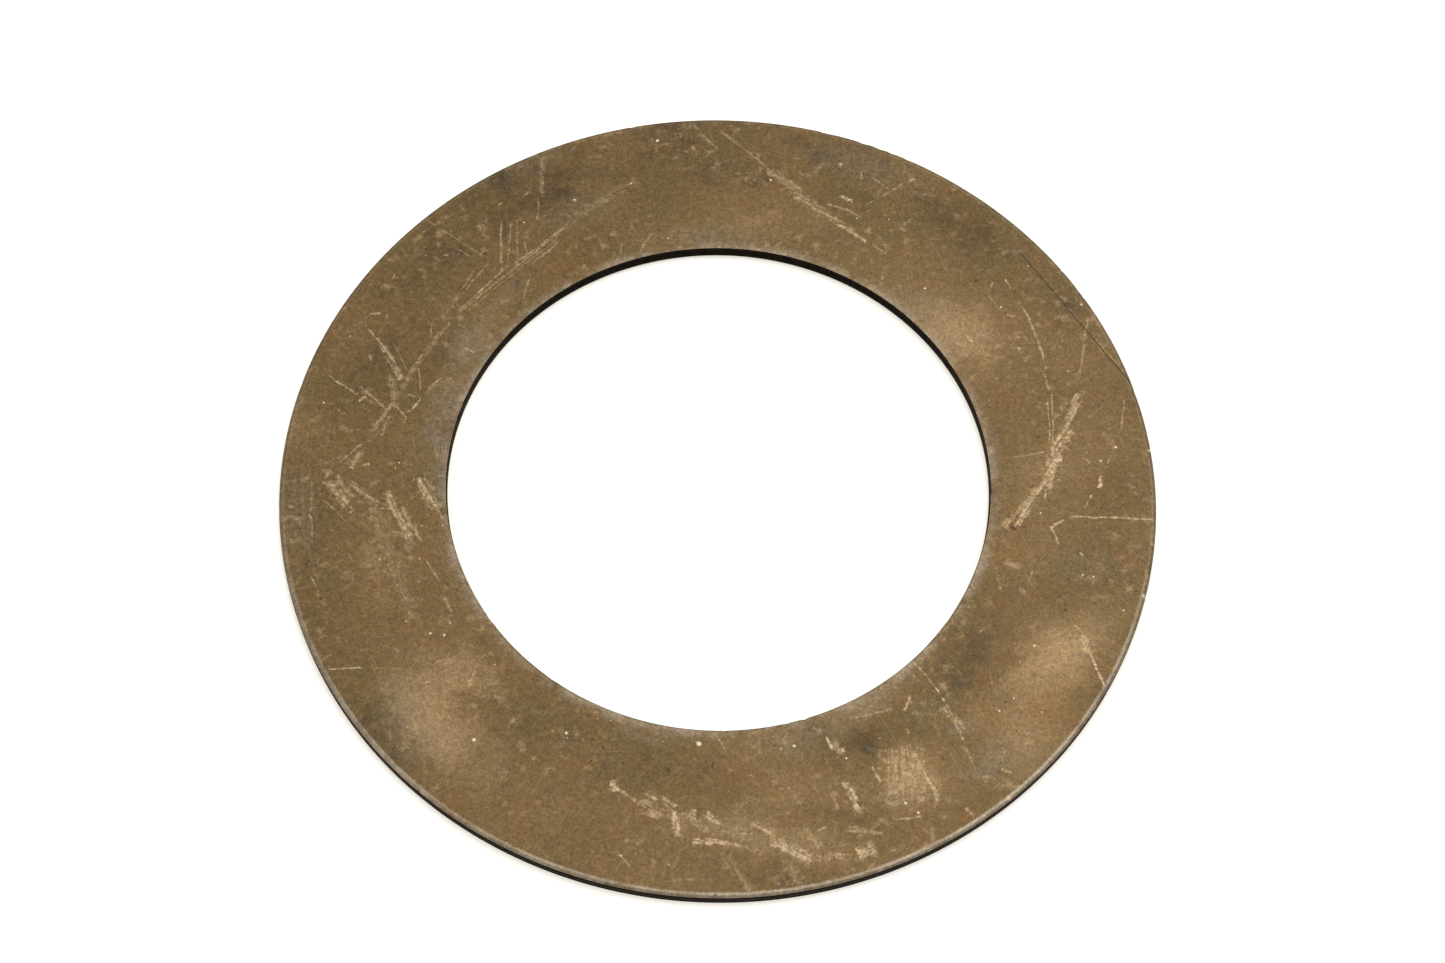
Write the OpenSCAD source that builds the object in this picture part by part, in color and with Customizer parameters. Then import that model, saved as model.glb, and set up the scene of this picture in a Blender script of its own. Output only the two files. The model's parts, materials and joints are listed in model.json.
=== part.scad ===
// Flat washer: one thin ring, blanked and pierced from flat steel sheet.
// The origin is at the centre of the bore, on the lower bearing face, with +Z along the bore.

/* [Ring] */
// Diameter of the bore
bore_d = 62; // [20:0.5:120]
// Width of the flat ring, from the bore to the rim
ring_w = 19; // [4:0.5:40]
// Thickness of the sheet
sheet_t = 1.6; // [1:0.1:4]

/* [Edges] */
// Radius that the press rolls onto the rim's upper edge
rim_roll_r = 0.4; // [0.1:0.05:0.7]
// Radius that the press rolls onto the bore's lower edge
bore_roll_r = 0.2; // [0.1:0.05:0.7]
// Radius left on the sharper edges, the rim's lower one and the bore's upper one
burr_r = 0.1; // [0.02:0.02:0.2]

/* [Hidden] */
round_fn = 180;
bore_r = bore_d / 2;
outside_r = bore_r + ring_w;
oxide_brown = "#77634a";

// What a rounding of radius r takes from a corner at the origin whose material lies towards +X and +Y
module corner_waste(r) {
    difference() {
        translate([-r, -r]) square(2 * r);
        translate([r, r]) circle(r, $fn = round_fn);
        translate([r, -r]) square([r, 3 * r]);
        translate([-r, r]) square([3 * r, r]);
    }
}

// Half of the ring's cross-section, with X as the distance from the axis
module ring_section() {
    difference() {
        translate([bore_r, 0]) square([ring_w, sheet_t]);
        translate([bore_r, 0]) corner_waste(bore_roll_r);
        translate([bore_r, sheet_t]) mirror([0, 1]) corner_waste(burr_r);
        translate([outside_r, 0]) mirror([1, 0]) corner_waste(burr_r);
        translate([outside_r, sheet_t]) mirror([1, 0]) mirror([0, 1]) corner_waste(rim_roll_r);
    }
}

module washer() {
    color(oxide_brown)
        rotate_extrude($fn = round_fn) ring_section();
}

washer();
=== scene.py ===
import json
import math
import random
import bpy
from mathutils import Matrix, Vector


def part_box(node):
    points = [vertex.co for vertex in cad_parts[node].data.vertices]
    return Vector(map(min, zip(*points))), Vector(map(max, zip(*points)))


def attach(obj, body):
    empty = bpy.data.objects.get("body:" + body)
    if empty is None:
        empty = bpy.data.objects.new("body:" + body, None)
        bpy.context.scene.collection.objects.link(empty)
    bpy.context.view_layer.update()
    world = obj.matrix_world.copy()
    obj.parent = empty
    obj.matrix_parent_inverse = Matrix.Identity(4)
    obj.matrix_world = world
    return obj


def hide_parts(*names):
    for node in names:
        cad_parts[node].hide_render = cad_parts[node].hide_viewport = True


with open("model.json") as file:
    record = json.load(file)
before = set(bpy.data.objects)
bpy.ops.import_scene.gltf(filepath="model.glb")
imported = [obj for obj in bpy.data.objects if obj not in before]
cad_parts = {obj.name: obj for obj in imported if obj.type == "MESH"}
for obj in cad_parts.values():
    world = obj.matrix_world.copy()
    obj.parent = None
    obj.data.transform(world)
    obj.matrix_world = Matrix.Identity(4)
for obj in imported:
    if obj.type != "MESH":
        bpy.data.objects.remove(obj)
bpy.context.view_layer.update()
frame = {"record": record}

from types import SimpleNamespace

import bpy
from mathutils import Matrix, Vector, noise

# Lengths are in millimetres, apart from the ones that the scene section gives in metres. MM turns one into
# the other.
MM = 0.001
NODE = "washer"

low, high = (Vector(corner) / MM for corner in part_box(NODE))
BORE_R = next(m for m in frame["record"]["mounts"] if m["kind"] == "bore")["dims"]["r_mm"]
RIM_R = min(-low.x, -low.y, high.x, high.y)
MIDDLE_R = (BORE_R + RIM_R) / 2
THICK = high.z
RIM_ROLL = 0.4  # radius of the rim's upper edge
BORE_ROLL = 0.2  # radius of the bore's lower edge
BURR = 0.1  # radius of the other two edges


# ---------------------------------------------------------------------- geometry

AROUND = 900  # facets round the ring
GUARD = 0.08  # width of a narrow strip beside each edge, which keeps the flat faces' shading flat
CUT_SHARE = 0.52  # how much of the wall the punch cut, on average, before the rest tore
SHEAR_INSET = 0.05  # how far the torn part of the wall leans in
TORN_GRIT = 0.03  # depth of the torn part's grit
CUT_STREAKS = 0.008  # depth of the streaks in the smooth part
NICKS = 46  # dents round the two upper edges
NICK_REACH = 0.8  # how far from the edge a dent is felt
NICK_LEAN = 0.7  # how far a dent goes in towards the steel for each unit that it goes down


def steps(start, end, count):
    """count evenly spaced values from start up to, but not including, end."""
    return [start + (end - start) * i / count for i in range(count)]


def profile():
    """The cross-section as (radius, height, is_wall), once round from the bore's lower edge.

    The first few steps of an edge's arc, as many as dark says, have the wall's material.
    """
    points = []

    def line(r0, z0, r1, z1, count, wall):
        for r, z in zip(steps(r0, r1, count), steps(z0, z1, count)):
            points.append((r, z, wall))

    def arc(centre_r, centre_z, radius, from_deg, count, wall, dark=0):
        for i, angle in enumerate(steps(from_deg, from_deg + 90, count)):
            a = math.radians(angle)
            r = centre_r + radius * math.cos(a)
            z = centre_z + radius * math.sin(a)
            points.append((r, z, wall or i < dark))

    lower_inner, lower_outer = BORE_R + BORE_ROLL, RIM_R - BURR
    upper_inner, upper_outer = BORE_R + BURR, RIM_R - RIM_ROLL
    line(lower_inner, 0, lower_inner + GUARD, 0, 1, False)
    line(lower_inner + GUARD, 0, lower_outer - GUARD, 0, 16, False)
    line(lower_outer - GUARD, 0, lower_outer, 0, 1, False)
    arc(lower_outer, BURR, BURR, 270, 3, True)
    line(RIM_R, BURR, RIM_R, THICK - RIM_ROLL, 10, True)
    arc(upper_outer, THICK - RIM_ROLL, RIM_ROLL, 0, 8, False, dark=3)
    line(upper_outer, THICK, upper_outer - GUARD, THICK, 1, False)
    line(upper_outer - GUARD, THICK, upper_inner + GUARD, THICK, 26, False)
    line(upper_inner + GUARD, THICK, upper_inner, THICK, 1, False)
    arc(upper_inner, THICK - BURR, BURR, 90, 3, True)
    line(BORE_R, THICK - BURR, BORE_R, BORE_ROLL, 10, True)
    arc(lower_inner, BORE_ROLL, BORE_ROLL, 180, 6, False, dark=5)
    return points


def edge_nicks(rng):
    """Small dents round the two upper edges, about two on the rim for each one on the bore.

    Each is (edge radius, angle, half width, depth).
    """
    dents = []
    for i in range(NICKS):
        edge = RIM_R if i % 3 else BORE_R
        angle = rng.uniform(0, math.tau)
        half_width = rng.uniform(0.2, 0.9)
        depth = rng.uniform(0.03, 0.12)
        dents.append((edge, angle, half_width, depth))
    return dents


def nicked(r, z, angle, dents):
    """How far the dents push this point away from the upper edge."""
    push = 0.0
    for edge, at, half_width, depth in dents:
        reach = math.hypot(r - edge, z - THICK)
        if reach > NICK_REACH:
            continue
        along = abs((angle - at + math.pi) % math.tau - math.pi) * edge / half_width
        if along < 1:
            push = max(push, depth * (1 - along * along) ** 2 * (1 - reach / NICK_REACH) ** 2)
    return push


def sheared(r, z, angle):
    """How far a wall point lies inside the steel: smooth where the punch cut, ragged where the sheet tore."""
    at_rim = r > MIDDLE_R
    from_roll = (THICK - z if at_rim else z) / THICK
    ring = Vector((math.cos(angle), math.sin(angle), 0)) * (RIM_R if at_rim else BORE_R)
    torn_from = CUT_SHARE + 0.1 * noise.noise(ring * 0.35) + 0.05 * noise.noise(ring * 1.3)
    torn = min(1.0, max(0.0, (from_roll - torn_from) / 0.12))
    near_end = min(1.0, from_roll * 4, (1 - from_roll) * 8)
    streaks = 0.5 + 0.5 * noise.noise(Vector((ring.x * 3.1, ring.y * 3.1, z * 0.8)))
    grit = 0.5 + 0.5 * noise.noise(Vector((ring.x * 2.3, ring.y * 2.3, z * 6)))
    cut = CUT_STREAKS * streaks * (1 - torn)
    tear = torn * (SHEAR_INSET * from_roll + TORN_GRIT * grit)
    return near_end * (cut + tear)


def washer_mesh():
    """The ring as one closed mesh, with the rolled, cut and torn edges that blanking leaves."""
    rng = random.Random(11)
    section = profile()
    dents = edge_nicks(rng)
    wide = len(section)
    verts, faces, walls = [], [], []
    for j in range(AROUND):
        angle = math.tau * j / AROUND
        for r, z, wall in section:
            inset = sheared(r, z, angle) if wall else 0.0
            outwards = 1 if r > MIDDLE_R else -1
            push = nicked(r, z, angle, dents) if z > THICK / 3 else 0.0
            r_now = r - outwards * (inset + push * NICK_LEAN)
            x = r_now * math.cos(angle)
            y = r_now * math.sin(angle)
            verts.append((x * MM, y * MM, (z - push) * MM))
        after = (j + 1) % AROUND
        for i in range(wide):
            k = (i + 1) % wide
            faces.append((j * wide + i, j * wide + k, after * wide + k, after * wide + i))
            walls.append(1 if section[i][2] else 0)
    mesh = bpy.data.meshes.new("washer_visual")
    mesh.from_pydata(verts, [], faces)
    mesh.polygons.foreach_set("material_index", walls)
    mesh.polygons.foreach_set("use_smooth", [True] * len(faces))
    mesh.update()
    mesh.validate()
    return mesh


# ---------------------------------------------------------------------- node helpers


def srgb(red, green, blue):
    """A colour given as 0 to 255 screen values, in linear light with full alpha."""
    def linear(value):
        value /= 255
        return value / 12.92 if value <= 0.04045 else ((value + 0.055) / 1.055) ** 2.4
    return (linear(red), linear(green), linear(blue), 1.0)


class Graph:
    """Adds nodes to a tree and wires them, so that a material reads as a sum.

    node gives back the new node, and every other method gives back its output or outputs.
    """

    def __init__(self, tree):
        self.tree = tree

    def node(self, kind, inputs, **settings):
        made = self.tree.nodes.new(kind)
        for name, value in settings.items():
            setattr(made, name, value)
        for key, value in inputs.items():
            if isinstance(value, bpy.types.NodeSocket):
                self.tree.links.new(value, made.inputs[key])
            else:
                made.inputs[key].default_value = value
        return made

    def math(self, operation, *values, clamp=False):
        inputs = dict(enumerate(values))
        made = self.node("ShaderNodeMath", inputs, operation=operation, use_clamp=clamp)
        return made.outputs[0]

    def vector(self, operation, *values):
        made = self.node("ShaderNodeVectorMath", dict(enumerate(values)), operation=operation)
        return made.outputs[0]

    def length(self, value):
        made = self.node("ShaderNodeVectorMath", {0: value}, operation="LENGTH")
        return made.outputs["Value"]

    def dot(self, first, second):
        made = self.node("ShaderNodeVectorMath", {0: first, 1: second}, operation="DOT_PRODUCT")
        return made.outputs["Value"]

    def scaled(self, value, factor):
        made = self.node("ShaderNodeVectorMath", {0: value, "Scale": factor}, operation="SCALE")
        return made.outputs[0]

    def parts(self, value):
        return self.node("ShaderNodeSeparateXYZ", {0: value}).outputs

    def joined(self, x, y, z):
        return self.node("ShaderNodeCombineXYZ", {0: x, 1: y, 2: z}).outputs[0]

    def band(self, value, start, end, low=0.0, high=1.0):
        """A smooth step from low, where value is start, to high, where it is end."""
        return self.line(value, start, end, low, high, "SMOOTHSTEP")

    def line(self, value, start, end, low, high, shape="LINEAR"):
        """The straight line through low, where value is start, and high, where it is end."""
        inputs = {0: value, 1: start, 2: end, 3: low, 4: high}
        made = self.node("ShaderNodeMapRange", inputs, interpolation_type=shape, clamp=False)
        return made.outputs[0]

    def noise(self, where, size_mm, detail=3.0, roughness=0.55):
        inputs = {"Vector": where, "Scale": 1 / size_mm, "Detail": detail, "Roughness": roughness}
        return self.node("ShaderNodeTexNoise", inputs).outputs["Fac"]

    def noise_colour(self, where, size_mm, detail=2.0):
        inputs = {"Vector": where, "Scale": 1 / size_mm, "Detail": detail}
        return self.node("ShaderNodeTexNoise", inputs).outputs["Color"]

    def cells(self, where, size_mm):
        """Random cells about size_mm wide: the distance to the cell's middle, and its own random numbers."""
        made = self.node("ShaderNodeTexVoronoi", {"Vector": where, "Scale": 1 / size_mm})
        return made.outputs["Distance"], made.outputs["Color"]

    def blend(self, share, first, second):
        """The first colour at a share of 0, and the second at 1."""
        made = self.node("ShaderNodeMix", {0: share, 6: first, 7: second}, data_type="RGBA")
        return made.outputs[2]

    def around(self, value, slope, middle=1.0):
        """A number that is middle where value is 0.5, and rises with value by slope."""
        return self.math("MULTIPLY_ADD", self.math("SUBTRACT", value, 0.5), slope, middle)


MARK_INPUTS = [
    ("Total", "NodeSocketFloat"),
    ("Where", "NodeSocketVector"),
    ("Middle", "NodeSocketVector"),
    ("Along", "NodeSocketVector"),
    ("Across", "NodeSocketVector"),
    ("Bow", "NodeSocketFloat"),
    ("Strength", "NodeSocketFloat"),
    ("Ragged", "NodeSocketFloat"),
    ("Streaks", "NodeSocketFloat"),
]


def mark_group(name, measure, gather):
    """A node group that adds one mark to a running total, by the gather operation.

    measure gives the mark's mask from how far along and across it a point is. Along and Across are the
    mark's own axes, divided by its half length and half width, so its outline is at 1.
    """
    tree = bpy.data.node_groups.new(name, "ShaderNodeTree")
    for label, kind in MARK_INPUTS:
        tree.interface.new_socket(label, in_out="INPUT", socket_type=kind)
    tree.interface.new_socket("Total", in_out="OUTPUT", socket_type="NodeSocketFloat")
    g = Graph(tree)
    entry = tree.nodes.new("NodeGroupInput").outputs
    offset = g.vector("SUBTRACT", entry["Where"], entry["Middle"])
    along = g.dot(offset, entry["Along"])
    across = g.dot(offset, entry["Across"])
    mask = g.math("MULTIPLY", measure(g, entry, along, across), entry["Strength"])
    total = g.math(gather, mask, entry["Total"])
    tree.links.new(total, tree.nodes.new("NodeGroupOutput").inputs["Total"])
    return tree


def inside_of(g, entry, along, across):
    """How far inside the mark's bowed outline a point is, from 1 on its spine down to 0 at its outline."""
    spine = g.math("MULTIPLY_ADD", g.math("MULTIPLY", along, along), -1.0, 1.0)
    off_spine = g.math("MULTIPLY_ADD", g.math("MULTIPLY", spine, entry["Bow"]), -1.0, across)
    side = g.math("SUBTRACT", 1.0, g.math("ABSOLUTE", off_spine))
    return g.math("ADD", g.math("MINIMUM", g.math("MULTIPLY", spine, 2.0), side), entry["Ragged"])


def scratch_mask(g, entry, along, across):
    """A thin mark."""
    return g.band(inside_of(g, entry, along, across), -0.05, 0.8)


def rub_mask(g, entry, along, across):
    """A broad mark made of fine parallel streaks."""
    return g.math("MULTIPLY", g.band(inside_of(g, entry, along, across), -0.15, 0.7), entry["Streaks"])


def patch_mask(g, entry, along, across):
    """A soft oval patch."""
    squared = g.math("MULTIPLY_ADD", along, along, g.math("MULTIPLY", across, across))
    return g.math("POWER", g.math("MAXIMUM", g.math("SUBTRACT", 1.0, squared), 0.0), 2.0)


def add_mark(g, group, total, where, middle, turn, half_size, strength, bow=0.0, ragged=0.0, streaks=1.0):
    """The total so far with one more mark, turned by an angle from +X."""
    half_length, half_width = half_size
    inputs = {
        "Total": total,
        "Where": where,
        "Middle": (*middle, 0.0),
        "Along": (math.cos(turn) / half_length, math.sin(turn) / half_length, 0.0),
        "Across": (-math.sin(turn) / half_width, math.cos(turn) / half_width, 0.0),
        "Bow": bow / half_width,
        "Strength": strength,
        "Ragged": ragged,
        "Streaks": streaks,
    }
    return g.node("ShaderNodeGroup", inputs, node_tree=group).outputs["Total"]


TIP_SPARE = 1.08  # how much longer a stroke is drawn than its ends say, because its tips fade
STREAK_ALONG = 0.3  # streaks to the millimetre along a rub
STREAK_ACROSS = 2.7  # and across it


def streak_fields(g, where, count):
    """Fine parallel streaks, once in each of count directions that share out a half turn."""
    fields = []
    for i in range(count):
        turn = math.pi * i / count
        along = g.dot(where, (STREAK_ALONG * math.cos(turn), STREAK_ALONG * math.sin(turn), 0.0))
        across = g.dot(where, (-STREAK_ACROSS * math.sin(turn), STREAK_ACROSS * math.cos(turn), 0.0))
        field = g.noise(g.joined(along, across, 5.0 * i), 1.0, 2.0, 0.6)
        fields.append(g.band(field, 0.36, 0.6, 0.2, 1.05))
    return fields


def strokes(g, group, where, marks, ragged, fields=(1.0,)):
    """The strongest of the strokes (from x, y, to x, y, width, bow, strength) at each point.

    It takes the streaks whose direction is nearest to the stroke's own.
    """
    total = 0.0
    for x0, y0, x1, y1, width, bow, strength in marks:
        half_size = (math.hypot(x1 - x0, y1 - y0) / 2 * TIP_SPARE, width / 2)
        middle = ((x0 + x1) / 2, (y0 + y1) / 2)
        turn = math.atan2(y1 - y0, x1 - x0)
        streaks = fields[round(turn / math.pi * len(fields)) % len(fields)]
        total = add_mark(g, group, total, where, middle, turn, half_size, strength, bow, ragged, streaks)
    return total


def patches(g, group, where, marks):
    """The soft patches (x, y, half length, half width, degrees of turn, strength), summed at each point."""
    total = 0.0
    for x, y, half_length, half_width, degrees, strength in marks:
        turn = math.radians(degrees)
        total = add_mark(g, group, total, where, (x, y), turn, (half_length, half_width), strength)
    return total


# ---------------------------------------------------------------------- marks on the upper face

# Thin scratches: from x, y, to x, y, width, sideways bow, strength.
SCRATCHES = [
    (-1, 48, 6, 41.5, 0.5, 0.2, 0.35), (-4.5, 49, -1.5, 45.5, 0.5, 0, 0.3),
    (12, 38, 16.5, 36, 0.4, 0, 0.4), (17.5, 42, 19.5, 40.3, 0.4, 0, 0.3),
    (21.5, 41.5, 16.5, 38, 0.35, 0.2, 0.28), (17.5, 32.5, 19.2, 31, 0.5, 0, 0.35),
    (13.5, 39.2, 15, 38.4, 0.7, 0, 0.8), (13.6, 44.1, 13.6, 43.4, 0.5, 0, 0.6),
    (16.2, 42.8, 16.2, 41.8, 0.3, 0, 0.55), (22, 41.6, 22.6, 42.1, 0.5, 0, 0.55),
    (14.3, 37.3, 15.3, 36.6, 0.5, 0, 0.35), (0.8, 42.1, 1.4, 41.9, 0.5, 0, 0.5),
    (-22.9, 37.5, -22.8, 34, 0.35, 0, 0.35), (-19, 34, -25, 28.2, 0.4, 0.1, 0.55),
    (-26, 27.6, -31.6, 20.8, 0.4, 0, 0.5), (-20.2, 31.2, -23, 28, 0.5, 0, 0.35),
    (-27.2, 34, -26.6, 27, 0.45, -0.1, 0.55), (-26, 33.5, -26, 28.5, 0.3, 0, 0.35),
    (-24.2, 31, -23.5, 28.5, 0.3, 0, 0.35), (-23.2, 26.5, -23.8, 23, 0.3, 0, 0.4),
    (-12.5, 31.5, -13.2, 28.5, 0.2, 0.1, 0.5), (-9, 33, -10.5, 30, 0.6, 0, 0.3),
    (-24.9, 37.4, -24, 38.4, 0.4, 0, 0.45), (-27.8, 36.2, -27, 36.8, 0.35, 0, 0.5),
    (-29.3, 31, -28.8, 31.2, 0.3, 0, 0.6), (-33.8, 28.8, -33.2, 28.9, 0.3, 0, 0.7),
    (-32.5, 30, -30, 28.5, 0.3, 0, 0.35), (-29.8, 27, -32, 22.5, 0.35, 0, 0.3),
    (-42.2, 18.8, -38, 13.4, 0.4, 0.15, 0.7), (-45.9, 12, -42.3, 9.4, 0.35, 0, 0.75),
    (-42.3, 10.6, -38.5, 7.3, 0.35, 0.1, 0.6), (-42, 8.6, -41.1, 9.1, 0.6, 0, 0.8),
    (-38.7, 16.5, -36.5, 12.5, 0.3, 0, 0.3), (-33.9, 17.2, -33.2, 18.2, 0.6, 0, 0.5),
    (-35, 15.2, -36.5, 12.2, 0.4, 0, 0.45), (-38.2, 8, -39.9, 5.2, 0.45, 0, 0.6),
    (-38.3, 6.5, -38.9, 4, 0.4, 0, 0.35), (-35.4, 13, -34.9, 10.2, 0.3, 0.1, 0.5),
    (-34.8, 9.4, -36.3, 7.3, 0.35, 0.25, 0.8), (-37.6, 7.9, -36.2, 6.5, 0.3, 0, 0.6),
    (-36.2, 6.6, -36.6, 5.8, 0.25, 0, 0.6), (-36.3, 9.6, -35.4, 9.2, 0.45, 0, 0.5),
    (-34, 10.6, -32.4, 12.1, 0.3, 0, 0.6), (-34, 10.2, -31, 12.2, 0.3, 0.2, 0.4),
    (-34.3, 19.3, -34.4, 17.3, 0.25, 0, 0.55), (-41.8, 20.3, -40.6, 20.5, 0.45, 0, 0.75),
    (-39.8, 20.4, -39.7, 19.8, 0.3, 0, 0.4), (-41.2, 15, -41, 14, 0.5, 0, 0.45),
    (-31.3, 19.3, -30.5, 18.9, 0.15, 0, 0.6), (-30.4, 16.2, -29, 15.5, 0.2, 0, 0.75),
    (-41.2, 2.8, -43.5, 0.2, 0.35, 0, 0.65), (-42.3, -0.1, -41.7, -0.2, 0.35, 0, 0.85),
    (-40.7, 0.2, -39.9, 0.4, 0.45, 0, 0.85), (-44.2, -0.8, -44.9, -1.8, 0.4, 0, 0.45),
    (-43, -3.8, -41, -6, 0.3, 0, 0.55), (-44.6, -4.5, -42, -7, 0.22, 0, 0.5),
    (-34.8, -3.9, -34.2, -3.6, 0.3, 0, 0.6), (-31.8, -5, -31, -6.4, 0.5, 0, 0.45),
    (-39.4, -5.4, -36.7, -5.3, 0.25, 0, 0.6), (-39.2, -5.5, -39, -7, 0.6, 0, 0.4),
    (-32.5, -11.7, -30, -15, 0.35, 0, 0.5), (-30.2, -16, -29, -18, 0.6, 0, 0.4),
    (-28.6, -15.8, -27.9, -16.8, 0.18, 0, 0.5), (-45.3, -14, -44.1, -16, 0.3, 0, 0.65),
    (-44.1, -16, -43.8, -18, 0.25, 0, 0.3), (-41.8, -25.2, -38, -25, 0.3, 0.05, 0.75),
    (-38, -25, -34.5, -25, 0.3, 0, 0.25), (-46.3, -2, -46, -6, 0.45, 0.1, 0.3),
    (-45.8, -7, -45.5, -10, 0.3, 0, 0.3), (-46.1, -6.3, -45.9, -6.9, 0.3, 0, 0.7),
    (-48.6, -5.4, -48, -5.6, 0.5, 0, 0.4), (-48.2, -6.6, -47.4, -7, 0.5, 0, 0.4),
    (-26, -24.4, -26.5, -27, 0.6, 0, 0.45), (-9.4, -38.4, -7.7, -39.4, 0.6, 0, 0.45),
    (-13.8, -32.7, -13.5, -32.1, 0.25, 0, 0.6), (-10.5, -32.4, -10.2, -32.5, 0.3, 0, 0.6),
    (0.6, -31.5, 1.6, -33, 0.35, 0, 0.6), (7.6, -37.6, 8.8, -37.4, 0.4, 0, 0.5),
    (-9.3, -45.5, -8, -46.8, 0.35, 0, 0.35), (-4, -46.4, -3.7, -46.6, 0.35, 0, 0.5),
    (11.5, -42.3, 12.6, -41.7, 0.5, 0, 0.6), (12.5, -31.3, 13.3, -32.6, 0.45, 0, 0.8),
    (17.5, -34.6, 18.5, -36.4, 0.5, 0, 0.75), (21.7, -26.2, 21.1, -28.1, 0.5, 0, 0.75),
    (21.3, -30, 21.6, -30.6, 0.4, 0, 0.45), (22.2, -22.3, 25, -25.8, 0.25, 0.1, 0.6),
    (25.2, -26.3, 25.5, -26.7, 0.35, 0, 0.9), (27, -30, 27.6, -31.6, 0.4, 0, 0.5),
    (27.6, -32, 29, -35, 0.4, 0, 0.3), (20, -40.5, 23, -40, 0.3, -0.1, 0.45),
    (15, -29.2, 20, -27.8, 0.4, 0, 0.35), (31.5, -34.4, 32.6, -34.8, 0.5, 0, 0.5),
    (27.5, -39, 28.5, -39.8, 0.5, 0, 0.35), (41.4, -19.8, 43, -24.3, 0.4, 0.05, 0.75),
    (40, -17, 40.7, -17.8, 0.4, 0, 0.5), (40.9, -7.9, 41.3, -8.4, 0.35, 0, 0.95),
    (40.2, -3.5, 49.6, -3.7, 0.4, 0.1, 0.6), (38, -5, 40.6, -3.5, 0.4, 0.2, 0.45),
    (37.8, -4.9, 38.6, -7.2, 0.35, 0.1, 0.55), (37.7, 0.8, 37.2, -1.6, 0.25, 0, 0.6),
    (35, 24.6, 37.7, 16, 0.45, 0.5, 0.5), (37.7, 15.2, 38.1, 12.8, 0.4, 0, 0.4),
    (38.5, 12.6, 38.3, 6, 0.25, 0.05, 0.6), (38.0, 11.5, 38.0, 6, 0.25, 0, 0.5),
    (43, 22.6, 42.6, 20.4, 0.45, 0, 0.35), (42.5, 19.3, 41.8, 15.2, 0.4, 0, 0.3),
    (41, 24, 48, 14.3, 0.2, 0, 0.3), (46.8, 12.2, 46.5, 8, 0.35, 0, 0.3),
    (45.6, 6, 44.3, 2.8, 0.35, 0, 0.35), (43.6, 1.9, 43.5, 0.3, 0.6, 0.1, 0.8),
    (42.7, -0.6, 41.7, -2.4, 0.35, 0, 0.55), (33, 3.8, 38, 4.9, 0.3, -0.1, 0.35),
    (28.8, 19.8, 29.4, 19.2, 0.22, 0, 0.85), (33.5, 23, 34.2, 22.8, 0.4, 0, 0.5),
    (34.6, 18.5, 34.9, 18.6, 0.3, 0, 0.7), (33.4, 27.9, 34, 26.6, 0.3, 0, 0.5),
    (31.9, 27.5, 31.3, 26, 0.3, 0, 0.5), (31.4, 25.6, 32.7, 23.8, 0.3, -0.1, 0.35),
    (41.6, 4, 42.4, 3.4, 0.3, 0.2, 0.4), (35.6, -10.4, 35.3, -11.6, 0.35, 0, 0.35),
    (30, -17.8, 29.3, -18.4, 0.25, 0, 0.45), (34, -12.5, 34.1, -13.1, 0.2, 0, 0.7),
    (-45, 18.8, -45.1, 18, 0.15, 0, 0.5), (-31.5, 20.7, -18.7, 34, 0.35, 0, 0.42),
    (-30, 21.5, -20, 32, 0.25, 0, 0.3), (-36.5, 34, -28.8, 28.7, 0.3, 0, 0.28),
    (-25.3, 34, -24.8, 27.6, 0.3, 0, 0.3), (-33.3, 20.1, -28.5, 27.6, 0.3, 0, 0.35),
]

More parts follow.
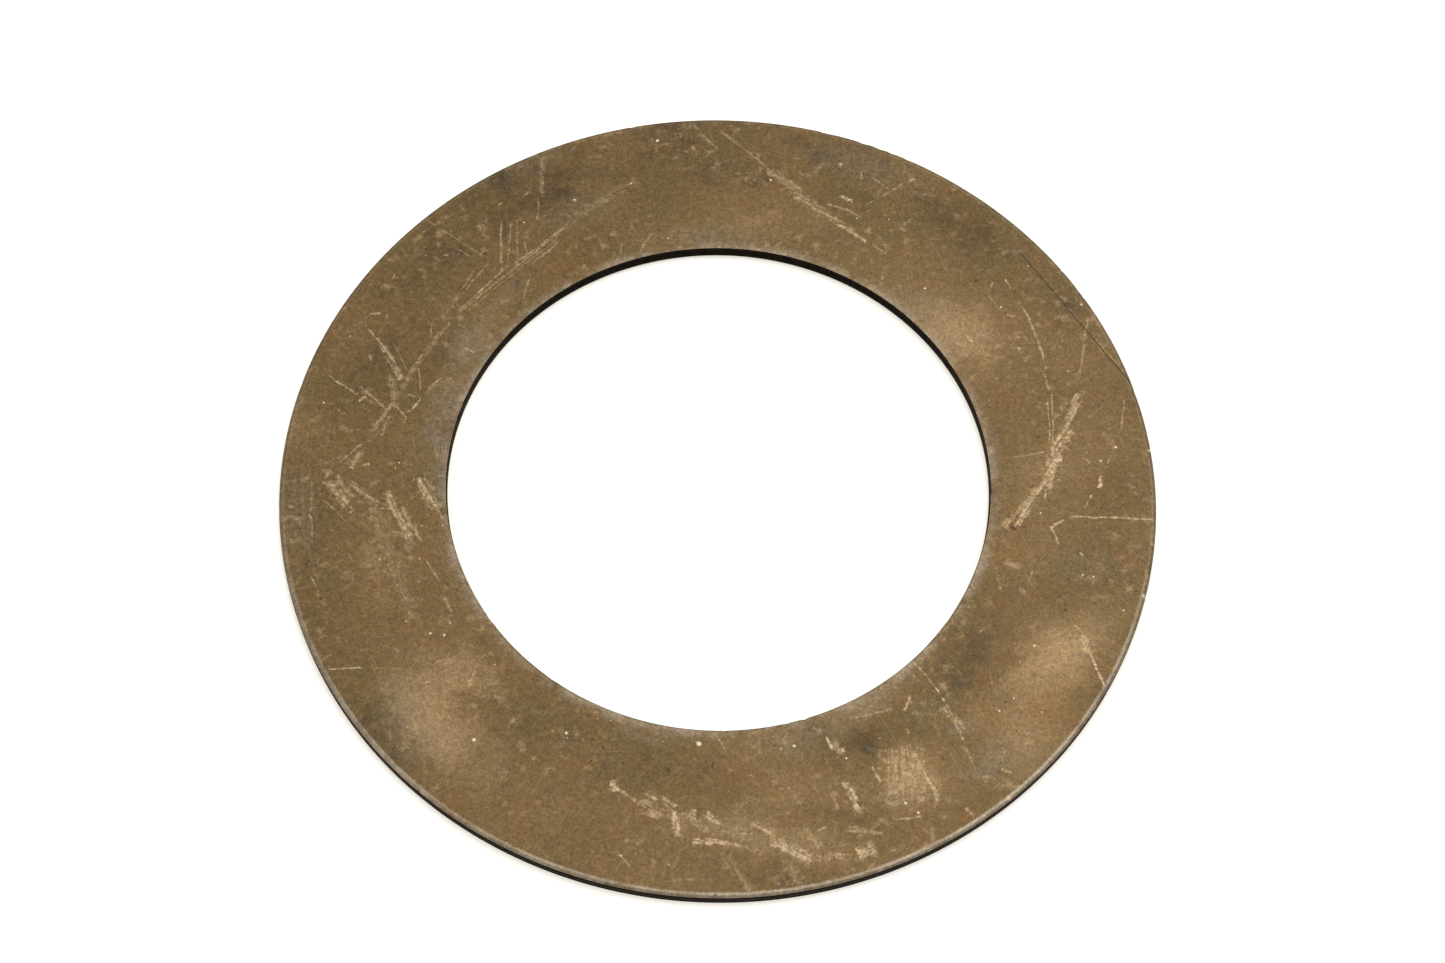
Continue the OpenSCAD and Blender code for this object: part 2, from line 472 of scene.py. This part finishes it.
# Broad streaky rubs, written the same way.
RUBS = [
    (5.5, 42.3, 12, 36.2, 1.56, 0, 0.5), (8, 39, 16.8, 32.7, 1.08, 0.1, 0.62),
    (-22.9, 43, -22.5, 37.8, 1.08, 0, 0.42), (-39.8, 16, -37.2, 11.6, 1.08, -0.1, 0.7),
    (-38.2, 12, -37.8, 7.8, 1.2, 0, 0.42), (-32.5, 19.5, -40.4, 4, 0.84, 0, 0.34),
    (-41, 1.8, -42, 0, 0.84, 0, 0.75), (-44.6, -2, -42, -5, 1.32, 0, 0.8),
    (-43.5, -1.3, -41.5, -4, 0.84, 0, 0.5), (-42, -2, -38.4, -5, 1.08, 0, 0.62),
    (-34, -1.2, -32, -5.2, 2.04, 0, 0.78), (-37.7, -3.3, -34.4, -9.4, 1.32, 0.1, 0.85),
    (-35.9, -5, -33.3, -9.2, 0.84, 0, 0.66), (-38.8, -6, -33, -19, 1.92, 0, 0.26),
    (-10.3, -37.1, -9.9, -38.5, 1.32, 0, 0.95), (-7.1, -39.3, -5, -41.2, 1.56, 0, 0.72),
    (-6.7, -38.5, -3.4, -40, 0.96, 0, 0.62), (-3.7, -40.3, -3, -43.2, 1.32, -0.1, 0.78),
    (-1.8, -40.2, -1.5, -41.4, 1.2, 0, 0.7), (-0.3, -40.5, 1, -41.8, 0.96, 0, 0.72),
    (-1.4, -43.8, 0.6, -43.7, 1.08, 0, 0.85), (0.4, -43.6, 5.6, -44.6, 0.72, 0.1, 0.66),
    (-3.5, -41, 5, -43, 2.16, 0, 0.3), (4.8, -41.4, 7.2, -42.6, 1.08, 0, 0.6),
    (6.6, -43.3, 11.2, -45.4, 1.8, 0.1, 0.75), (10, -45.2, 14.9, -45, 0.96, 0, 0.62),
    (15, -41.9, 19, -42.4, 0.84, 0.1, 0.42), (16.1, -44.6, 18, -43.9, 1.92, 0, 0.74),
    (9.8, -41.6, 12.2, -44, 1.08, 0, 0.36), (1.8, -45.4, 5, -49, 1.44, 0, 0.28),
    (8.4, -45.4, 10.6, -48.6, 1.44, 0, 0.28), (13.2, -32.1, 14.3, -33.3, 1.2, 0, 0.85),
    (14.7, -36.4, 16.3, -39.8, 1.08, 0, 0.8), (13, -37, 13.9, -39.6, 0.72, 0, 0.36),
    (20.6, -32.4, 21.6, -38.6, 6.4, 0, 0.38), (21.6, -32.2, 24.9, -38.4, 0.72, 0, 0.66),
    (21, -34.8, 20, -38.4, 0.6, 0, 0.5), (25.4, -27.4, 27.4, -30, 1.2, 0, 0.52),
    (29.4, -35.6, 33.5, -36.6, 1.32, 0, 0.36), (40.8, -18.2, 41.6, -20.6, 1.2, 0, 0.8),
    (41.8, 12.8, 38.8, 4.5, 1.32, -0.1, 0.62), (40.2, 8, 37.3, -0.2, 2.04, -0.2, 0.8),
    (38.3, 2.4, 34, -5, 0.96, -0.2, 0.75), (36.8, 0.2, 32.2, -5.3, 1.2, 0, 0.5),
    (-0.2, -47.8, -4, -48.3, 0.6, 0, 0.2), (-19.7, 34, -11.2, 40.4, 1.68, 0, 0.22),
]

# Dark scratches and pits, written the same way.
DARK_MARKS = [
    (35.3, 31.8, 47.9, 14, 0.22, 0, 0.75), (-29, 29.2, -28.6, 29.2, 0.4, 0, 1),
    (33.2, -5.1, 33.9, -5.4, 0.45, 0, 0.8), (0.4, -34.7, 0.4, -35.4, 0.3, 0, 0.6),
    (-4.5, -35.7, -4.1, -36, 0.4, 0, 0.6), (6.9, -32.6, 7.2, -32.6, 0.4, 0, 0.55),
    (36.4, 6.6, 36.9, 6.8, 0.4, 0, 0.5), (-17.1, 29.8, -16.8, 29.3, 0.5, 0, 0.45),
    (-20.2, 34.6, -19.4, 34.2, 0.6, 0, 0.35), (-36.4, -28.9, -36.1, -29.1, 0.4, 0, 0.5),
    (-42.9, 14.3, -42.7, 14.4, 0.3, 0, 0.5), (-24.8, 25.7, -24.4, 24.6, 0.8, 0, 0.4),
    (39, 2.6, 38.2, 0.9, 0.15, 0, 0.4), (-38.4, -3.2, -37.6, -4.4, 0.3, 0, 0.3),
    (30.2, 9.3, 30.4, 9.1, 0.25, 0, 0.7),
]

# Bright dust and chips: x, y, diameter.
SPECKS = [
    (-8.8, 46.4, 0.55), (-11.8, 40, 0.35), (-18.5, 37.3, 0.42), (-7, 32.2, 0.36), (23.8, 26.4, 0.36),
    (-47.4, 4, 0.32), (-36.9, -0.1, 0.36), (-36.5, 0.6, 0.22), (-37.6, -11.7, 0.35),
    (-33.2, -11.5, 0.25), (-31.3, -20.5, 0.36), (-29.7, -20.7, 0.36), (-29.2, -19.2, 0.25),
    (-25.5, -33, 0.5), (-43.8, 17.2, 0.22), (-15.6, -31.8, 0.42), (-10.8, -30.2, 0.22),
    (22.5, -39.7, 0.4), (21.2, -38.7, 0.36), (14.8, -33.8, 0.28), (32.3, -37.7, 0.7), (49.3, -6.8, 0.5),
    (47.9, -13.2, 0.55), (49.5, 5.4, 0.5), (45.6, 5.6, 0.36), (43.8, 3.7, 0.32), (40.5, 15.6, 0.32),
    (42.3, 24.7, 0.32), (32.8, 24.1, 0.28), (31.1, 11.3, 0.24), (41.2, -10.8, 0.26), (42.4, -11, 0.26),
    (45.6, -15, 0.3), (35.5, -19.7, 0.3), (31.4, -27.6, 0.26), (33, -26.1, 0.24), (-1.2, -32.6, 0.7),
    (36.7, -3.2, 0.26), (38.1, -5, 0.32), (-33.3, -7.4, 0.22), (-41.5, -5.9, 0.24), (-39, 4.2, 0.18),
    (5.1, 41.1, 0.4), (-24.4, 33.8, 0.3), (-45.9, 8.1, 0.3), (9.2, -32.5, 0.4), (7.8, -32.9, 0.28),
    (-35.8, 28.8, 0.22),
]

# Soft patches of random tone and painted sheen, lighter on the whole towards the near side (-Y) and darker
# towards the far side: x, y, half length, half width, turn in degrees, strength (below zero is darker).
TONE_AND_SHEEN_PATCHES = [
    (25, 20, 13, 8, -55, 0.62), (38.5, 3, 12, 8, 80, 0.3), (37.5, -21.5, 13, 6.5, 42, 0.7),
    (35, -31, 9, 7, 45, 0.4), (21.5, -35.5, 6, 4.5, 60, 0.42), (7, -43, 18, 4.5, -10, 0.5),
    (-31, -29, 9, 7, -35, 0.55), (-27, -35, 8, 6, -35, 0.38), (5, -32.5, 9, 3, 5, 0.22),
    (-39, -12, 12, 4.5, 100, 0.14), (5, 37, 14, 6, 0, 0.14), (-4, 33, 13, 4, 5, 0.25),
    (33, -8, 6, 5, 0, 0.2), (16.5, -27.5, 7, 3, 30, 0.25), (28, -28.5, 5, 3, 30, 0.3),
    (46, 0, 5, 3, 90, -0.15), (27, 36, 12, 6, -40, -0.5), (14, 44.5, 12, 4, -18, -0.38),
    (-24, 40, 13, 7, 32, -0.3), (-37, 28, 11, 8, 55, -0.3), (-46.5, -6, 11, 4, 95, -0.25),
    (-36.5, -31, 5, 4, -40, -0.6), (-33.5, -35.5, 5, 3, -40, -0.5), (-25, -28.7, 4, 3, 0, -0.35),
    (28.5, -22.5, 8, 6, 45, -0.42), (31, -33, 4, 3, 30, -0.2), (0, -36.5, 17, 3.5, 0, -0.08),
    (44, -9, 8, 5, -30, -0.25), (17.5, -31, 6, 3, 20, -0.35), (12, -40, 9, 2.2, 5, -0.22),
    (-20, -32, 7, 4, -40, -0.2), (7, -47.5, 10, 2.5, 5, -0.3), (-41, 8, 9, 6, 90, -0.12),
    (41, 24, 9, 4, -60, -0.25), (-12, 42, 8, 5, 10, -0.1), (27.5, -37.5, 4, 3, 30, -0.1),
    (31, 22, 9, 6, -55, 0.32), (13, 39.5, 11, 6, -15, -0.24), (-27.5, 19.5, 9, 3.5, 55, 0.26),
    (-37, 7, 9, 6, 90, 0.16), (-30.5, 13, 10, 3, 68, 0.34), (-26, -26, 7, 4, -45, 0.34),
    (10, -37.5, 14, 5, 10, 0.28), (22, -36, 9, 7, 30, 0.26), (32, -34, 10, 6, 45, 0.22),
]

# Grey, where the brown film is thin: written the same way.
GREYS = [
    (-31.8, 5, 9, 3.2, 83, 1.1), (-31.5, -33, 6, 4.5, -35, 0.5), (-34, -29, 6, 3, 60, 0.45),
    (-3, 32.6, 10, 2.4, 3, 0.5), (9, -31.8, 8, 2.6, 12, 0.6), (17, -27.3, 8, 2.4, 32, 0.6),
    (24, 22, 10, 5, -55, 0.3), (31.5, 1, 9, 1.9, 90, 0.5), (-47, -6, 9, 3, 97, 0.5),
    (16, 44, 11, 4, -20, 0.4), (-18, 36, 7, 4, 30, 0.3), (31, -32.6, 4, 3, 40, 0.5),
    (-24.6, 25, 2.5, 1.5, 60, 0.5), (29.5, -10, 6, 1.7, 70, 0.5), (42, -9, 7, 4, 0, 0.28),
    (-30.0, 16, 7, 2.8, 62, 0.85), (-28.6, -14, 7, 1.8, -64, 0.4), (27, -29.5, 3, 1.5, 0, 0.5),
    (24, -27.5, 4, 2, 20, 0.4), (29.5, -34.5, 4, 1.6, 25, 0.55), (-31.5, -3, 2.5, 1.6, 80, 0.6),
    (-7, -31.6, 6, 1.6, -10, 0.45), (-25, 42, 8, 3, 30, 0.3),
]

# Rust: x, y, half length, half width, turn, strength.
RUST = [
    (-47.9, 2.2, 0.45, 0.35, 0, 1), (-48.7, 1.9, 0.4, 0.3, 0, 0.7), (-47.5, 0.4, 0.35, 0.25, 0, 0.5),
    (-18.5, 28, 5, 3.5, 40, 0.24), (33.5, -4, 3, 2.2, 50, 0.4), (45, -8, 3, 1.6, -20, 0.4),
    (34, -8, 3, 2.4, 0, 0.2), (29, 36, 3, 2, 0, 0.2), (-9.7, 46.2, 0.5, 0.4, 0, 0.4),
    (3, -36, 4, 3, 0, 0.2), (20, -26.5, 3, 1.4, 0, 0.2), (37, -27, 6, 4, 45, 0.2),
]


# ---------------------------------------------------------------------- materials


# Colours of the faces, of the cut wall and of the floor.
OXIDE_DARK = srgb(67, 53, 31)
OXIDE_MIDDLE = srgb(106, 83, 48)
OXIDE_LIGHT = srgb(146, 120, 84)
OXIDE_OLIVE = srgb(89, 74, 38)
OXIDE_REDDISH = srgb(117, 76, 30)
THIN_FILM_GREY = srgb(115, 101, 81)
# the bore's worn film, and also the painted highlight along the rim
WORN_EDGE_AND_HIGHLIGHT = srgb(140, 126, 107)
SMUDGE = srgb(150, 126, 95)
SCRATCHED = srgb(162, 140, 107)
DARK_SCRATCH = srgb(30, 22, 14)
PIT = srgb(34, 26, 17)
DUST = srgb(206, 197, 179)
RUST_FLECK = srgb(186, 132, 66)
WALL_DARK = srgb(7, 5, 3)
WALL_STREAK = srgb(19, 14, 9)
WALL_BLOTCH = srgb(34, 24, 15)
WALL_GRIT = srgb(46, 37, 27)
WALL_SHEEN = (1.0, 0.85, 0.65, 1.0)
FLOOR_PALE = (0.93, 0.89, 0.82, 1.0)
FLOOR_GLOW = (1.0, 0.97, 0.9, 1.0)

# Sizes of what the face's noises show.
GRAIN_SIZE = 0.27
FINE_SIZE = 0.7
MIDDLING_SIZE = 4.0
BROAD_SIZE = 19.0

LAYER_GAP = 70.0  # from the underside's layer of the noises to the upper face's, so that the two differ
SOFT_WARP = 4.5  # how far the soft patches' outlines wander
MARK_WARP = 0.5  # how far the scratches' and rubs' outlines wander
SWEEP = 16.0  # how far the hairlines bend
RING_PITCH = 0.42  # from one turned ring to the next
FACE_RELIEF = 0.009  # height of the face's bump
WALL_RELIEF = 0.02  # height of the wall's bump

HALF = (0.5, 0.5, 0.5)


def new_material(name):
    material = bpy.data.materials.new(name)
    material.use_nodes = True
    tree = material.node_tree
    shader = next(n for n in tree.nodes if n.type == "BSDF_PRINCIPLED")
    return material, Graph(tree), shader


def finish_shader(g, shader, colour, rough, height, relief):
    """Wires a material's colour, roughness and bump into its shader."""
    bump = g.node("ShaderNodeBump", {"Height": height, "Distance": relief * MM, "Strength": 1.0})
    g.tree.links.new(colour, shader.inputs["Base Color"])
    g.tree.links.new(rough, shader.inputs["Roughness"])
    g.tree.links.new(bump.outputs[0], shader.inputs["Normal"])


def face_fields(g):
    """Where a point of the face is, and the noises that its colours and marks share."""
    place = g.scaled(g.node("ShaderNodeTexCoord", {}).outputs["Object"], 1 / MM)
    x, y, z = g.parts(place)
    face = SimpleNamespace(y=y)
    face.on_top = g.band(z, THICK * 0.45, THICK * 0.55)
    face.flat = g.joined(x, y, 0.0)
    face.radius = g.length(face.flat)
    face.where = g.joined(x, y, g.math("MULTIPLY", face.on_top, LAYER_GAP))
    face.fine = g.noise(face.where, FINE_SIZE, 4.0, 0.7)
    face.grain = g.noise(face.where, GRAIN_SIZE, 2.0, 0.65)
    face.middling = g.noise(face.where, MIDDLING_SIZE, 5.0, 0.68)
    face.broad = g.noise(face.where, BROAD_SIZE, 3.0, 0.5)
    return face


def face_marks(g, face, groups):
    """The upper face's own marks, each kind as a mask."""
    ragged = g.line(face.fine, 0.3, 0.7, -0.55, 0.35)
    warp = g.vector("SUBTRACT", g.noise_colour(face.where, 3.2, 3.0), HALF)
    soft_place = g.vector("ADD", face.flat, g.scaled(warp, SOFT_WARP))
    mark_place = g.vector("ADD", face.flat, g.scaled(warp, MARK_WARP))

    def upper(mask):
        return g.math("MULTIPLY", mask, face.on_top)

    marks = SimpleNamespace()
    # soft patches of random tone and painted sheen, lighter on the whole towards the near side
    marks.shade = upper(patches(g, groups.patch, soft_place, TONE_AND_SHEEN_PATCHES))
    marks.grey = upper(patches(g, groups.patch, soft_place, GREYS))
    marks.rust = upper(patches(g, groups.patch, soft_place, RUST))
    marks.thin = upper(strokes(g, groups.scratch, mark_place, SCRATCHES, ragged))
    fields = streak_fields(g, face.flat, 6)
    marks.rubs = upper(strokes(g, groups.rub, mark_place, RUBS, ragged, fields))
    marks.dark = upper(strokes(g, groups.scratch, mark_place, DARK_MARKS, 0.2))
    specks = [(x - d / 2, y, x + d / 2, y, d * 1.1, 0, 1.3) for x, y, d in SPECKS]
    marks.specks = upper(strokes(g, groups.speck, mark_place, specks, 0.0))
    return marks


def hairlines(g, place, turn_deg, seed):
    """Faint parallel hairlines that come and go, all in one direction."""
    along = g.node(
        "ShaderNodeMapping",
        {"Vector": place, "Rotation": (0, 0, math.radians(turn_deg)), "Location": (seed, seed, seed)},
    ).outputs[0]
    lines = g.noise(g.vector("MULTIPLY", along, (0.09, 3.4, 1.0)), 1.0, 1.0, 0.5)
    where = g.noise(along, 7.0, 1.0)
    return g.math("MULTIPLY", g.band(lines, 0.62, 0.74), g.band(where, 0.42, 0.62))


def all_hairlines(g, face):
    """Hairlines in three directions, bent so that none is straight for long."""
    sweep = g.vector("SUBTRACT", g.noise_colour(face.where, 22.0, 1.0), HALF)
    swept = g.vector("ADD", face.where, g.scaled(sweep, SWEEP))
    lines = g.math("MAXIMUM", hairlines(g, swept, -48, 3.0), hairlines(g, swept, 62, 11.0))
    return g.math("MAXIMUM", lines, hairlines(g, swept, 8, 23.0))


def oxide_colour(g, face, marks):
    """The mottled brown film, with painted sheen in its soft patches: dark to light, then olive, reddish and
    grey areas.
    """
    mottle = g.math("MULTIPLY", g.math("SUBTRACT", face.middling, 0.5), 1.9)
    tone = g.math("ADD", mottle, g.math("SUBTRACT", face.broad, 0.5))
    # the soft patches add painted sheen to the film's tone
    tone = g.math("ADD", tone, marks.shade)
    colour = g.blend(g.band(tone, -0.75, 0.05), OXIDE_DARK, OXIDE_MIDDLE)
    colour = g.blend(g.band(tone, 0.0, 0.95), colour, OXIDE_LIGHT)
    olive = g.band(g.noise(face.where, 8.0, 3.0), 0.42, 0.66, 0.0, 0.45)
    colour = g.blend(olive, colour, OXIDE_OLIVE)
    reddish = g.math("ADD", g.band(g.noise(face.where, 2.6, 4.0, 0.6), 0.5, 0.74, 0.0, 0.3), marks.rust)
    colour = g.blend(reddish, colour, OXIDE_REDDISH)
    grey = g.math("MULTIPLY", marks.grey, g.band(face.middling, 0.25, 0.6, 0.35, 1.0))
    grey = g.math("MULTIPLY", grey, g.band(face.fine, 0.35, 0.6, 0.5, 1.1))
    return g.blend(g.math("MULTIPLY", grey, 0.9, clamp=True), colour, THIN_FILM_GREY)


def turned_rings(g, face):
    """Faint rings that something turning has left: their wave, and how much of it shows at each place."""
    turns = g.math("MULTIPLY", g.math("MULTIPLY_ADD", face.fine, 0.25, face.radius), math.tau / RING_PITCH)
    wave = g.math("SINE", turns)
    shown = g.math("MULTIPLY", g.band(face.radius, 41.0, 32.0), g.band(face.broad, 0.4, 0.6))
    return wave, shown


def edge_wear_and_rim_highlight(g, face):
    """How far the film is worn off along the bore, and a thin band along the rim that is partly wear and
    mostly painted highlight, faint at the far side and strongest on the near side (-Y).
    """
    bore = g.band(face.radius, BORE_R + 1.5, BORE_R + 0.1)
    bore = g.math("MULTIPLY", bore, g.band(face.middling, 0.35, 0.65, 0.0, 0.75))
    rim = g.band(face.radius, RIM_R - 0.75, RIM_R - 0.5)
    rim = g.math("MULTIPLY", rim, g.band(face.middling, 0.3, 0.6, 0.35, 1.0))
    # painted highlight: the rim's band grows from 0.2 at the far side to full strength on the near side (-Y)
    rim = g.math("MULTIPLY", rim, g.band(face.y, 5.0, -35.0, 0.2, 1.0))
    return g.math("MAXIMUM", bore, rim)


def scattered_spots(g, face, cell, channel, power, size, edge):
    """Small round spots of many sizes, at most one to a cell: their mask, and each cell's random numbers."""
    distance, numbers = g.cells(face.where, cell)
    share = g.math("POWER", g.parts(numbers)[channel], power)
    reach = g.math("MULTIPLY_ADD", share, size, 0.001)
    return g.band(g.math("DIVIDE", distance, reach), 1.0, edge), numbers


def face_material():
    """Both faces: brown oxide on steel, mottled, rubbed grey at the edges, with a painted highlight along the
    near rim and painted sheen in soft patches, scratched on the upper face.
    """
    material, g, shader = new_material("brown_oxide_face")
    groups = SimpleNamespace(
        scratch=mark_group("scratch", scratch_mask, "MAXIMUM"),
        rub=mark_group("rub", rub_mask, "MAXIMUM"),
        patch=mark_group("patch", patch_mask, "ADD"),
        speck=mark_group("speck", patch_mask, "MAXIMUM"),
    )
    face = face_fields(g)
    marks = face_marks(g, face, groups)
    lines = all_hairlines(g, face)
    colour = oxide_colour(g, face, marks)

    wave, shown = turned_rings(g, face)
    rings = g.math("MULTIPLY", wave, shown)
    # worn film at the bore, and a painted highlight along the rim that is strongest on the near side
    wear_and_rim_highlight = edge_wear_and_rim_highlight(g, face)
    colour = g.blend(wear_and_rim_highlight, colour, WORN_EDGE_AND_HIGHLIGHT)

    broken = g.band(face.fine, 0.3, 0.6, 0.62, 1.08)
    broken = g.math("MULTIPLY", broken, g.band(face.grain, 0.3, 0.6, 0.75, 1.2))
    smudges = g.band(g.noise(face.where, 1.3, 4.0, 0.62), 0.53, 0.72)
    smudges = g.math("MULTIPLY", smudges, g.band(g.noise(face.where, 9.0, 2.0), 0.4, 0.62, 0.1, 0.75))
    colour = g.blend(smudges, colour, SMUDGE)
    light = g.math("MAXIMUM", marks.thin, g.math("MULTIPLY", marks.rubs, 0.95))
    light = g.math("MAXIMUM", g.math("MULTIPLY", light, broken), g.math("MULTIPLY", lines, 0.13))
    colour = g.blend(light, colour, SCRATCHED)
    colour = g.blend(g.math("MULTIPLY", marks.dark, 0.8), colour, DARK_SCRATCH)

    grain_gain = g.around(face.grain, 1.4)
    fine_gain = g.around(face.fine, 1.45)
    ring_gain = g.math("MULTIPLY_ADD", rings, 0.06, 1.0)
    gain = g.math("MULTIPLY", g.math("MULTIPLY", grain_gain, fine_gain), ring_gain)
    colour = g.scaled(colour, gain)

    pits, _ = scattered_spots(g, face, 1.15, 0, 3.5, 0.16, 0.55)
    colour = g.blend(g.math("MULTIPLY", pits, 0.7), colour, PIT)
    dots, numbers = scattered_spots(g, face, 1.2, 1, 4.2, 0.125, 0.5)
    bright = g.math("MAXIMUM", g.math("MULTIPLY", dots, 0.6), marks.specks)
    dot_colour = g.blend(g.band(g.parts(numbers)[0], 0.55, 0.9), DUST, RUST_FLECK)
    colour = g.blend(bright, colour, dot_colour)

    # smoother where scratched and worn, and also along the painted rim highlight and in the painted sheen
    # patches
    polish = g.math("MAXIMUM", g.math("MAXIMUM", light, wear_and_rim_highlight), g.math("MULTIPLY", marks.shade, 0.5))
    rough = g.around(face.middling, 0.25, 0.5)
    rough = g.around(face.fine, 0.2, rough)
    rough = g.math("MULTIPLY_ADD", polish, -0.14, rough, clamp=True)

    height = g.math("ADD", g.math("MULTIPLY", face.grain, 0.5), face.fine)
    height = g.math("MULTIPLY_ADD", wave, g.math("MULTIPLY", shown, 0.12), height)
    height = g.math("MULTIPLY_ADD", pits, -1.5, height)
    height = g.math("MULTIPLY_ADD", lines, -0.5, height)

    finish_shader(g, shader, colour, rough, height, FACE_RELIEF)
    shader.inputs["Metallic"].default_value = 0.55
    shader.inputs["Specular IOR Level"].default_value = 0.4
    return material


def wall_material():
    """The cut edge: nearly black, streaked up and down where the punch slid, gritty where the sheet tore."""
    material, g, shader = new_material("sheared_wall")
    place = g.scaled(g.node("ShaderNodeTexCoord", {}).outputs["Object"], 1 / MM)
    streaks = g.noise(g.vector("MULTIPLY", place, (3.0, 3.0, 0.5)), 1.0, 3.0, 0.6)
    blotches = g.noise(place, 2.5, 4.0, 0.6)
    grit = g.noise(place, 0.18, 3.0, 0.6)
    colour = g.blend(g.band(streaks, 0.35, 0.7), WALL_DARK, WALL_STREAK)
    colour = g.blend(g.band(blotches, 0.52, 0.78, 0.0, 0.7), colour, WALL_BLOTCH)
    colour = g.blend(g.band(grit, 0.55, 0.8, 0.0, 0.45), colour, WALL_GRIT)
    rough = g.math("MULTIPLY_ADD", blotches, 0.3, 0.42, clamp=True)
    height = g.math("ADD", g.math("MULTIPLY", streaks, 1.5), grit)
    finish_shader(g, shader, colour, rough, height, WALL_RELIEF)
    shader.inputs["Metallic"].default_value = 0.1
    shader.inputs["Specular IOR Level"].default_value = 0.02
    shader.inputs["Specular Tint"].default_value = WALL_SHEEN
    return material


def floor_material():
    """A plain pale floor, with a little light of its own so that it reads as white."""
    material, _, shader = new_material("pale_floor")
    shader.inputs["Base Color"].default_value = FLOOR_PALE
    shader.inputs["Roughness"].default_value = 1.0
    shader.inputs["Specular IOR Level"].default_value = 0.0
    shader.inputs["Emission Color"].default_value = FLOOR_GLOW
    shader.inputs["Emission Strength"].default_value = 0.38
    return material


# ---------------------------------------------------------------------- scene

# From here on lengths are in metres, apart from the ones whose names end in MM.
FOCAL_MM = 63.7
SENSOR_MM = 36.0
ELEVATION_DEG = 62.31
ROLL_DEG = 1.84
CAMERA_DISTANCE = 292.7 * MM
CLIP_START = 0.01
FLOOR_HALF = 4.0
FLOOR_DROP = 0.04 * MM  # how far the floor is below the washer, so that the two don't share a plane
AIM = Vector((0.45, -0.06, THICK / 2)) * MM


def build_washer():
    washer = bpy.data.objects.new("washer_ring", washer_mesh())
    bpy.context.collection.objects.link(washer)
    washer.data.materials.append(face_material())
    washer.data.materials.append(wall_material())
    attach(washer, "root")
    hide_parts(NODE)


def build_floor():
    half, drop = FLOOR_HALF, FLOOR_DROP
    mesh = bpy.data.meshes.new("floor")
    corners = [(-half, -half, -drop), (half, -half, -drop), (half, half, -drop), (-half, half, -drop)]
    mesh.from_pydata(corners, [], [(0, 1, 2, 3)])
    floor = bpy.data.objects.new("floor", mesh)
    bpy.context.collection.objects.link(floor)
    floor.data.materials.append(floor_material())


def softbox(name, place, size, watts, colour):
    """A square area light at place, in metres, that faces the washer."""
    light = bpy.data.lights.new(name, "AREA")
    light.shape = "SQUARE"
    light.size = size
    light.energy = watts
    light.color = colour
    lamp = bpy.data.objects.new(name, light)
    lamp.location = place
    lamp.rotation_mode = "QUATERNION"
    lamp.rotation_quaternion = Vector(place).to_track_quat("Z", "Y")
    bpy.context.collection.objects.link(lamp)


def build_lights():
    """Soft studio light: an even backdrop, a large softbox overhead and a weaker one at the left."""
    world = bpy.data.worlds.new("studio")
    world.use_nodes = True
    backdrop = world.node_tree.nodes["Background"]
    backdrop.inputs["Color"].default_value = (1.0, 1.0, 1.0, 1.0)
    backdrop.inputs["Strength"].default_value = 0.6
    bpy.context.scene.world = world
    softbox("overhead", (0.25, 0.35, 1.1), 0.9, 7.2, (1.0, 0.99, 0.97))
    softbox("left", (-0.8, -0.2, 0.9), 0.7, 2.0, (0.97, 0.98, 1.0))


def build_camera():
    """A camera at the photograph's angle, rolled a little as the photograph is."""
    tilt, roll = math.radians(ELEVATION_DEG), math.radians(ROLL_DEG)
    back = Vector((0, -math.cos(tilt), math.sin(tilt)))
    level = Vector((1, 0, 0))
    up = back.cross(level)
    right = level * math.cos(roll) + up * math.sin(roll)
    above = up * math.cos(roll) - level * math.sin(roll)
    camera_data = bpy.data.cameras.new("camera")
    camera_data.lens = FOCAL_MM
    camera_data.sensor_width = SENSOR_MM
    camera_data.clip_start = CLIP_START
    camera = bpy.data.objects.new("camera", camera_data)
    bpy.context.collection.objects.link(camera)
    turn = Matrix((right, above, back)).transposed().to_4x4()
    camera.matrix_world = Matrix.Translation(AIM + back * CAMERA_DISTANCE) @ turn
    bpy.context.scene.camera = camera


build_washer()
build_floor()
build_lights()
build_camera()
bpy.context.scene.view_settings.view_transform = "Standard"
